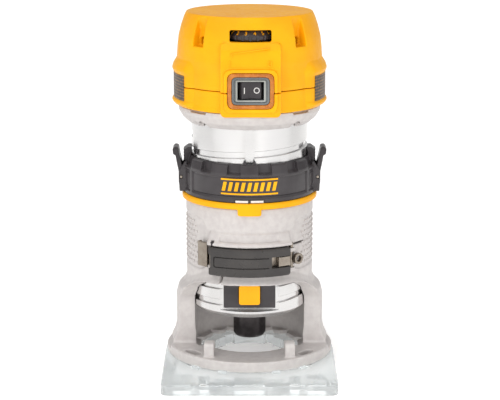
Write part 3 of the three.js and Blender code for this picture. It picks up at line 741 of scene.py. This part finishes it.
def helix_cutter():
    """The groove's tool: a bar with a slightly wider mouth, bent into the helix."""
    section = [(33.3, -1.7), (34.2, -1.75), (34.5, -2.0), (36, -3), (36, 3), (34.5, 2.0), (34.2, 1.75),
        (33.3, 1.7)]
    step = 5
    start, end = -9.35 * 360, 285
    count = round((end - start) / step)
    vertices = []
    for i in range(count + 1):
        angle = start + step * i
        lift = GROOVE_FRONT_Z + GROOVE_LEAD * angle / 360
        a = math.radians(angle)
        vertices += [(r * math.sin(a), -r * math.cos(a), z + lift) for r, z in section]
    n = len(section)
    faces = [
        (i * n + k, i * n + (k + 1) % n, (i + 1) * n + (k + 1) % n, (i + 1) * n + k)
        for i in range(count) for k in range(n)
    ]
    faces += [tuple(range(n)), tuple(count * n + k for k in reversed(range(n)))]
    return new_object(vertices, faces)


def motor_can():
    """The turned part of the housing, below the flange."""
    can = lathe(rounded([
        (10.4, 36.2, 0.3), (29.5, 36.2, 0.5), (30, 34.5, 0.3), (32.6, 34.5, 0.6), (34.5, 37, 0.8),
        (34.5, 149, 0), (31.5, 149, 0), (31.5, 66), (13.5, 66),
        (13.5, 57.5), (11, 57.5), (11, 56), (27, 56), (27, 42), (10.4, 42),
    ]), 160)
    return cut(
        can,
        helix_cutter(),
        block(-2.75, 2.75, -36, -32.6, 60, 150),
        prism(rectangle(-17.6, 17.6, 38.4, 57.8, 1), -36, -29.6, "Y"),
        prism(rectangle(-6.5, 6.5, LOCK_Z - 6.5, LOCK_Z + 6.5, 1.2), -30, -26, "Y"),
        *[rod(2.9, 33, 43, x, -10) for x in (-19, 19)],
    )


def motor_flange():
    flange = lathe(rounded([
        (31.8, 149.2), (34.7, 149.2), (34.7, 147.2), (36, 147.4, 0.8), (39.6, 150.6, 3),
        (41.9, 154.6, 1.5), (42, 157.4, 0.3),
        (37.8, 157.4), (37.8, 160, 0.3), (31.8, 160, 0.3),
    ]))
    exhausts = [ring_block(39.5, 43, 156.0, 158, a - 9, a + 9) for a in (-46, 46, 134, 226)]
    holes = [rod(3.1, 146, 153.3, *at(36.6, a)) for a in (45, 135, 225, 315)]
    holes += [rod(1.9, 150, 161, *at(36.6, a)) for a in (45, 135, 225, 315)]
    return softened(cut(flange, *exhausts, *holes), 0.35, 3)


def lock_plate():
    plate = prism(rectangle(-15.3, 15.3, 39.9, 55.8, 0.4), -30.7, -29.9, "Y")
    return softened(cut(plate, prism(rectangle(-6.5, 6.5, LOCK_Z - 6.3, LOCK_Z + 6.3, 1.6), -32, -29,
        "Y")), 0.14, 2)


def lock_button():
    face = prism(rectangle(-6.2, 6.2, LOCK_Z - 6, LOCK_Z + 6, 1.6), -33.8, -29.9, "Y")
    return softened(joined(face, rod(2, -30, -12.6, 0, LOCK_Z, "Y")), 0.22, 4)


# ---------------------------------------------------------------- head

def head_blank(z0, z1):
    """The head's outer form between two heights, before it is hollowed."""
    body = lathe(rounded([
        (0, 157.7), (43.2, 157.7, 0.5), (42.6, 161, 2), (42.2, 166, 2), (42.2, 180, 6), (42.7, 186, 6),
        (42.3, 192, 6),
        (41.6, 198, 8), (40.1, 204, 8), (38.4, 209, 3), (36.6, HEAD_TOP, 2), (33.6, HEAD_TOP, 0.5),
        (33.1, 211.9, 0.5), (0, 212.1),
    ]), 180)
    side_rims = []
    for angle in (-90, 90):
        def taper(degrees, r, z, middle=angle):
            share = smooth_step((45 - abs(degrees - middle)) / 12)
            return (r if r < 41.4 else 41.4 + (r - 41.4) * share), z
        side_rims.append(swept(rounded([
            (38, 158.4), (44.4, 158.6, 1), (45.8, 160.4, 0.8), (45.4, 161.7, 0.4), (44.4, 161.9),
            (44.4, 177.2), (44.9, 177.5, 0.3),
            (45.6, 179.3, 0.9), (44.8, 182, 1.5), (42.4, 185.8, 2), (38, 185.8),
        ]), angle - 45, angle + 45, 60, taper))
    column = prism(rounded([
        (-30, 155.9), (-43.9, 155.9, 1.2), (-43.8, 165, 4), (-43.5, 184, 6), (-42.4, 194, 3),
        (-40.2, 198.2, 2), (-30, 198.2),
    ]), SWITCH_X - 17.2, SWITCH_X + 17.2, "X")
    column = common(column, prism(rectangle(-16.6, 17.9, 155.9, 198.4, 3.5), -60, 0, "Y"))
    bump = prism(rectangle(SWITCH_X - 15.3, SWITCH_X + 15.3, 158.8, 183.6, 4.5), -45.5, -38, "Y")
    lump = joined(body, *side_rims, column, bump)
    return common(lump, block(-60, 60, -60, 60, z0, z1))


def switch_opening():
    return [
        prism(rectangle(SWITCH_X - 13.3, SWITCH_X + 13.3, SWITCH_Z - 10.3, SWITCH_Z + 10.3, 4), -50,
        -42.9, "Y"),
        prism(rectangle(SWITCH_X - 11.2, SWITCH_X + 11.2, SWITCH_Z - 8.3, SWITCH_Z + 8.3, 3), -50, -30, "Y"),
    ]


def housing_cover():
    body = head_blank(PARTING_Z + 0.15, 212)
    hollow = lathe([(0, 160), (39.6, 160), (39.6, 188), (38, 197), (36.6, 203), (33.6, 209.6), (0, 209.6)])
    chutes, channels = [], []
    for side in (-1, 1):
        angle = 45 * side
        chutes.append(spun(prism([(-40, 190), (-33, 190), (-32.6, 210), (-36, 211)], -5.6, 5.6, "X"), angle))
        channel = prism(rounded([(-60, 194.4), (-36, 194.4, 1), (-35.6, 203, 6), (-37.6, 212),
            (-60, 216)]), -5, 5, "X")
        face = prism(rounded([(-4.3, 194.4, 0.8), (4.3, 194.4, 0.8), (3.3, 214), (-3.3, 214)]), -60, 0, "Y")
        channels.append(spun(common(channel, face), angle))
        channels.append(spun(prism(rectangle(-3.5, 3.5, 195.2, 199.4, 0.6), -44, -30, "Y"), angle))
    slit = rounded([(-1.3, 188, 1), (1.3, 188, 1), (1.3, 200, 1), (-1.3, 200, 1)])
    rear = [spun(prism(slit, -46, -34, "Y"), a) for a in (150, 160, 170, 190, 200, 210)]
    window = prism(rectangle(-11.2, 12.4, 198.4, 205, 0.5), -46, -30, "Y")
    gland = rod(7.3, 34, 52, 0, 186, "Y")
    bosses = [rod(3.3, 172, 184, *at(36.6, a)) for a in (45, 135, 225, 315)]
    bores = [rod(1.9, 171, 180.5, *at(36.6, a)) for a in (45, 135, 225, 315)]
    body = cut(body, hollow)
    body = cut(joined(body, *bosses, *chutes), *switch_opening(), *channels, *rear, window, gland, *bores)
    return softened(body, 0.45, 4)


def housing_collar():
    body = head_blank(155.9, PARTING_Z - 0.15)
    hollow = lathe([(0, 150), (42.4, 150), (42.4, 157.7), (38.2, 157.7), (38.2, 160.4), (39.6, 171),
        (0, 171)])
    return softened(cut(body, hollow, *switch_opening()), 0.42, 4)


def embossed_marks():
    """The speed wedge and the plain I and O marks, proud of the front."""
    wedge = prism([(-10.5, 191.8), (11.2, 194.9), (11.2, 195.5), (-10.5, 192.4)], -43.2, -41.5, "Y")
    end = prism([(-10.5, 190.2), (-9.9, 190.2), (-9.9, 192.4), (-10.5, 192.4)], -43.4, -41.5, "Y")
    stroke = prism([(-11.3, 185.2), (-10.7, 185.2), (-10.7, 188.2), (-11.3, 188.2)], -43.85, -42.5, "Y")
    ring = cut(
        prism(rectangle(10.3, 12.7, 185.1, 188.2, 0.7), -43.85, -42.5, "Y"),
        prism(rectangle(10.8, 12.2, 185.6, 187.7, 0.4), -45, -42, "Y"),
    )
    return merged([wedge, end, stroke, ring])


def switch_boot():
    outer = prism(rectangle(SWITCH_X - 13.1, SWITCH_X + 13.1, SWITCH_Z - 10.1, SWITCH_Z + 10.1, 4), -45,
        -43.2, "Y")
    inner = prism(rectangle(SWITCH_X - 10.9, SWITCH_X + 10.9, SWITCH_Z - 8, SWITCH_Z + 8, 3), -47, -42, "Y")
    return softened(cut(outer, inner), 0.16, 6)


def switch_bezel():
    outer = prism(rectangle(SWITCH_X - 10.7, SWITCH_X + 10.7, SWITCH_Z - 7.8, SWITCH_Z + 7.8, 2.8), -44.6,
        -35, "Y")
    step = prism(rectangle(SWITCH_X - 9.5, SWITCH_X + 9.5, SWITCH_Z - 6.6, SWITCH_Z + 6.6, 1.8), -46,
        -43.7, "Y")
    inner = prism(rectangle(SWITCH_X - 7.4, SWITCH_X + 7.4, SWITCH_Z - 5.2, SWITCH_Z + 5.2, 0.5), -46,
        -34, "Y")
    return softened(cut(outer, step, inner), 0.15, 3)


def switch_rim():
    """The light inner lip of the bezel."""
    outer = prism(rectangle(SWITCH_X - 8.5, SWITCH_X + 8.5, SWITCH_Z - 6.1, SWITCH_Z + 6.1, 0.8), -44.1,
        -43.4, "Y")
    inner = prism(rectangle(SWITCH_X - 7.6, SWITCH_X + 7.6, SWITCH_Z - 5.3, SWITCH_Z + 5.3, 0.4), -46,
        -42, "Y")
    return bevelled(cut(outer, inner), 0.2)


def switch_rocker():
    drum = rod(6.9, SWITCH_Z - 4.9, SWITCH_Z + 4.9, SWITCH_X, -38, "Z", 64)
    dish = prism([(-9, -50), (9, -50), (9, -42.4), (0, -40.9), (-9, -44.2)], 160, 185)
    return softened(cut(drum, moved(dish, SWITCH_X)), 0.2, 3)


def rocker_marks():
    """Plain I and O marks on the rocker's two faces."""
    stroke = moved(block(-0.25, 0.25, -43.55, -42.4, SWITCH_Z - 1.7, SWITCH_Z + 1.7), SWITCH_X - 3.6, 0.5)
    ring = cut(
        prism(circle(SWITCH_X + 3.4, SWITCH_Z, 1.7, 40), -41.75, -41.0, "Y"),
        prism(circle(SWITCH_X + 3.4, SWITCH_Z, 1.25, 40), -43, -40, "Y"),
    )
    return merged([stroke, ring])


def speed_dial():
    wheel = lathe(rounded([(1.6, 199), (12, 199, 0.4), (12.6, 199.8, 0.3), (12.6, 201.4, 0.4),
        (9.6, 204.5, 0.5), (1.6, 204.5)]), 96)
    knurls = [rod(1.1, 198, 202.4, *at(13, 20 * i), "Z", 16) for i in range(18)]
    return moved(cut(wheel, *knurls), 0.5, -27.5)


def dial_numbers():
    """Plain numbers from 1 to 7 on the dial's slope."""
    tilt = math.degrees(math.atan2(3.1, 3))
    marks = []
    for i in range(7):
        curve = bpy.data.curves.new("number", "FONT")
        curve.body = str(i + 1)
        curve.size = 3.4
        curve.extrude = 0.12
        curve.align_x = curve.align_y = "CENTER"
        text = bpy.data.objects.new("number", curve)
        bpy.context.scene.collection.objects.link(text)
        mesh = bpy.data.meshes.new_from_object(text)
        bpy.data.objects.remove(text)
        obj = bpy.data.objects.new("number", mesh)
        bpy.context.scene.collection.objects.link(obj)
        spun(obj, tilt, "X")
        moved(obj, 0, -11.15, 202.95)
        marks.append(spun(obj, 26 * (i - 3) + 13))
    return moved(merged(marks), 0.5, -27.5)


def dial_surround():
    """The dark box behind the dial's window."""
    outer = common(
        block(-12.6, 13.6, -41, -26, 197.2, 206.4),
        lathe([(0, 190), (39.5, 190), (39.3, 198), (37.2, 204.6), (36.2, 206.4), (0, 206.4)]),
    )
    return bevelled(cut(outer, block(-11.8, 12.8, -46, -26.5, 197.9, 205.6),
        rod(13, 197, 205.6, 0.5, -27.5, "Z", 48)), 0.15)


def rating_label(side):
    middle = 90 * side
    outline = [(44.3, 162.2), (44.75, 162.2), (44.75, 176.9), (44.3, 176.9)]
    return swept(outline, middle - 32, middle + 32)


def cord_gland():
    body = lathe(rounded([(3.8, 36), (7, 36), (7, 43.4), (8.6, 43.4, 0.5), (8.6, 45.4, 0.8),
        (6.8, 46.2, 0.6), (6.2, 50.5, 0.6), (3.8, 50.5, 0.5)]), 64)
    body.data.transform(Matrix.Rotation(math.radians(-90), 4, "X"))
    return moved(body, 0, 0, 186)


# ---------------------------------------------------------------- spindle

def collet_nut():
    body = lathe(rounded([
        (3.9, 14.2, 0.3), (8.6, 14.2, 0.8), (9.8, 16, 0.8), (9.8, 33.6, 0.3), (7.9, 33.6), (7.9, 19.5),
        (5.5, 19), (5.5, 15.7), (3.9, 15.7),
    ]), 96)
    hexagon = rod(18.2 / math.sqrt(3), 13, 31.5, 0, 0, "Z", 6)
    return bevelled(common(spun(body, 3), joined(hexagon, rod(10.6, 31.4, 35, 0, 0, "Z", 96))), 0.15, 2, 25)


def collet():
    body = lathe(rounded([(3.2, 16, 0.2), (4.6, 16, 0.2), (5.2, 18.5), (5.2, 35), (3.2, 35)]), 64)
    return cut(body, *[spun(block(-6, 6, -0.4, 0.4, 15, 29), a) for a in (45, 135)])


# ---------------------------------------------------------------- assembly

piece(base_casting(), "casting", "base", MATERIAL["cast_aluminium"], "cast_aluminium", "base_casting")
piece(grip_dots(), "grip_dots", "base", MATERIAL["cast_aluminium"], "cast_aluminium")
piece(sub_base(), "clear_base", "base", MATERIAL["clear_plastic"], "clear_plastic", "sub_base", crease=30)
piece(sub_base_rests(), "clear_base_rests", "base", MATERIAL["clear_plastic"], "clear_plastic", crease=30)
piece(clamp_strap(), "strap", "base", MATERIAL["steel"], "steel", "clamp_strap")
piece(pivot_spring(), "pivot_spring", "base", MATERIAL["black_steel"], "black_steel")
piece(clamp_lever(), "lever_handle", "lever", MATERIAL["grey_plastic"], "grey_plastic", "clamp_lever")
piece(adjusting_screw(), "adjusting_screw_head", "adjusting_screw", MATERIAL["steel"], "black_steel",
    "clamp_adjusting_screw")

piece(scale_ring(), "depth_scale", "scale", MATERIAL["yellow_plastic"], "yellow_plastic", "scale_ring")
piece(adjustment_ring(), "ring_body", "depth_ring", MATERIAL["dark_plastic"], "dark_plastic",
    "adjustment_ring")
piece(ring_badge(), "ring_badge", "depth_ring", MATERIAL["yellow_painted_light"], "yellow_plastic")
piece(ring_index(), "ring_index", "depth_ring", MATERIAL["ink"], "label")
for word, side, low, high in (("left", -1, 109, 110.6), ("right", 1, 106.2, 107.1)):
    piece(release_tab(side, low, high), f"tab_{word}", f"{word}_tab", MATERIAL["dark_plastic"],
        "dark_plastic", f"release_tab_{word}")

piece(motor_can(), "can", "motor", MATERIAL["machined_aluminium"], "machined_aluminium", "motor_housing",
    crease=30)
piece(motor_flange(), "flange", "motor", MATERIAL["cast_aluminium"], "cast_aluminium", "motor_housing")
piece(lock_plate(), "lock_surround", "motor", MATERIAL["dark_plastic"], "dark_plastic", "spindle_lock_plate")
# The lock key takes the lighter yellow copy, painted light against the shade it sits in.
piece(lock_button(), "lock_key", "lock_button", MATERIAL["yellow_painted_light"], "yellow_plastic",
    "spindle_lock_button")
piece(housing_cover(), "cover", "motor", MATERIAL["yellow_plastic"], "yellow_plastic", "housing_cover")
piece(housing_collar(), "collar", "motor", MATERIAL["yellow_plastic"], "yellow_plastic", "housing_collar")
piece(embossed_marks(), "embossed_marks", "motor", MATERIAL["yellow_plastic"], "yellow_plastic")
# The boot's amber-brown colour is painted shade of the recess below it.
piece(switch_boot(), "boot", "motor", MATERIAL["amber_boot"], "amber_boot", "switch_boot")
piece(switch_bezel(), "bezel", "motor", MATERIAL["bezel_plastic"], "grey_plastic", "switch_bezel")
piece(switch_rim(), "bezel_rim", "motor", MATERIAL["light_grey"], "grey_plastic")
piece(switch_rocker(), "rocker_key", "rocker", MATERIAL["dark_plastic"], "dark_plastic", "switch_rocker")
piece(rocker_marks(), "rocker_marks", "rocker", MATERIAL["ink"], "label")
piece(speed_dial(), "dial_wheel", "dial", MATERIAL["dark_plastic"], "dark_plastic", "speed_dial")
piece(dial_numbers(), "dial_numbers", "dial", MATERIAL["yellow_plastic"], "yellow_plastic", crease=30)
piece(dial_surround(), "dial_surround", "motor", MATERIAL["black_plastic"], "dark_plastic")
for word, side in (("left", -1), ("right", 1)):
    piece(rating_label(side), f"label_{word}", "motor", MATERIAL["label"], "label", f"rating_label_{word}")
piece(cord_gland(), "gland", "motor", MATERIAL["dark_plastic"], "dark_plastic", "cord_gland")
piece(collet_nut(), "nut_body", "nut", MATERIAL["black_steel"], "black_steel", "collet_nut")
piece(collet(), "collet_body", "collet_sleeve", MATERIAL["steel"], "steel", "collet")

# The CAD solids that stay visible or sit inside take the same materials by slot.
slots = {row["node"]: row["material_slot"] for row in frame["record"]["subparts"]}
for name, node in frame["nodes"].items():
    node.data.materials.clear()
    node.data.materials.append(MATERIAL[slots[name]])


# ---------------------------------------------------------------- stage, light and camera

def stage():
    floor = new_object([(-3, -3, 0), (3, -3, 0), (3, 3, 0), (-3, 3, 0)], [(0, 1, 2, 3)])
    floor.name = "floor"
    # The floor glows a little, as a lit table does, so that it comes out white.
    paper = Finish("paper", roughness=0.9, emission_strength=0.34)
    paper.shader.inputs["Emission Color"].default_value = (1, 1, 1, 1)
    paper.colour(paper.noise(3, 2), "f4f3f1", "f7f6f5")
    floor.data.materials.append(paper.material)
    moved(floor, 0, 0, -0.0004)


def area_light(name, place, target, size, power):
    light = bpy.data.lights.new(name, "AREA")
    light.shape = "RECTANGLE"
    light.size, light.size_y = size
    light.energy = power
    obj = bpy.data.objects.new(name, light)
    obj.location = place
    obj.rotation_euler = (Vector(target) - Vector(place)).to_track_quat("-Z", "Y").to_euler()
    obj.visible_glossy = False
    bpy.context.scene.collection.objects.link(obj)


# Brightness of the studio round the horizon, by the angle from the front in degrees.
STUDIO = (
    (-150, 1.0), (-126, 0.45), (-78, 0.3), (-70, 1.3), (-16, 1.35), (-12, 0.3), (12, 0.3), (16, 1.4),
    (80, 1.45), (88, 0.3),
    (118, 0.32), (128, 1.05), (180, 1.0),
)
STUDIO_ABOVE = 1.22
STUDIO_STRENGTH = 0.67
# Heights (as the sine of the elevation) between which the horizon's light gives way to the sky's.
HORIZON_BAND = (0.3, 0.75)

# The camera's place from the spindle axis in metres, its downward tilt in degrees, and its lens.
CAMERA_OFFSET = (0.0003, -0.919, 0.312)
CAMERA_TILT = 13.1
LENS_MM = 113


def lighting():
    world = bpy.data.worlds.new("studio")
    bpy.context.scene.world = world
    world.use_nodes = True
    tree = world.node_tree
    direction = tree.nodes.new("ShaderNodeTexCoord").outputs["Generated"]
    around = tree.nodes.new("ShaderNodeTexGradient")
    around.gradient_type = "RADIAL"
    tree.links.new(direction, around.inputs["Vector"])
    ramp = tree.nodes.new("ShaderNodeValToRGB")
    tree.links.new(around.outputs["Fac"], ramp.inputs["Fac"])
    stops = sorted(((0.25 + angle / 360) % 1, level) for angle, level in STUDIO)
    while len(ramp.color_ramp.elements) < len(stops):
        ramp.color_ramp.elements.new(0.5)
    for element, (position, level) in zip(ramp.color_ramp.elements, stops):
        element.position = position
        element.color = (level, level, level, 1)
    height = tree.nodes.new("ShaderNodeSeparateXYZ")
    tree.links.new(direction, height.inputs["Vector"])
    rise = tree.nodes.new("ShaderNodeMapRange")
    rise.inputs["From Min"].default_value = HORIZON_BAND[0]
    rise.inputs["From Max"].default_value = HORIZON_BAND[1]
    tree.links.new(height.outputs["Z"], rise.inputs["Value"])
    mix = tree.nodes.new("ShaderNodeMix")
    mix.data_type = "RGBA"
    tree.links.new(rise.outputs["Result"], mix.inputs["Factor"])
    tree.links.new(ramp.outputs["Color"], mix.inputs[6])
    mix.inputs[7].default_value = (STUDIO_ABOVE, STUDIO_ABOVE, STUDIO_ABOVE, 1)
    background = tree.nodes["Background"]
    tree.links.new(mix.outputs[2], background.inputs["Color"])
    background.inputs["Strength"].default_value = STUDIO_STRENGTH
    sun = bpy.data.lights.new("sun", "SUN")
    sun.energy = 0.55
    sun.angle = math.radians(60)
    obj = bpy.data.objects.new("sun", sun)
    obj.rotation_euler = Vector((0.35, 0.55, -1.0)).to_track_quat("-Z", "Y").to_euler()
    bpy.context.scene.collection.objects.link(obj)
    area_light("key", (-0.5, -0.9, 0.6), (0, 0, 0.1), (0.35, 0.5), 2.0)
    area_light("low", (0.1, -0.8, 0.13), (0, 0, 0.02), (0.6, 0.15), 1.5)


def camera():
    data = bpy.data.cameras.new("camera")
    data.sensor_width = 36
    data.lens = LENS_MM
    obj = bpy.data.objects.new("camera", data)
    x, y, z = CAMERA_OFFSET
    obj.location = (x, AXIS_Y + y, z)
    obj.rotation_euler = (math.radians(90 - CAMERA_TILT), 0, 0)
    bpy.context.scene.collection.objects.link(obj)
    bpy.context.scene.camera = obj


stage()
lighting()
camera()
bpy.context.scene.view_settings.view_transform = "Standard"
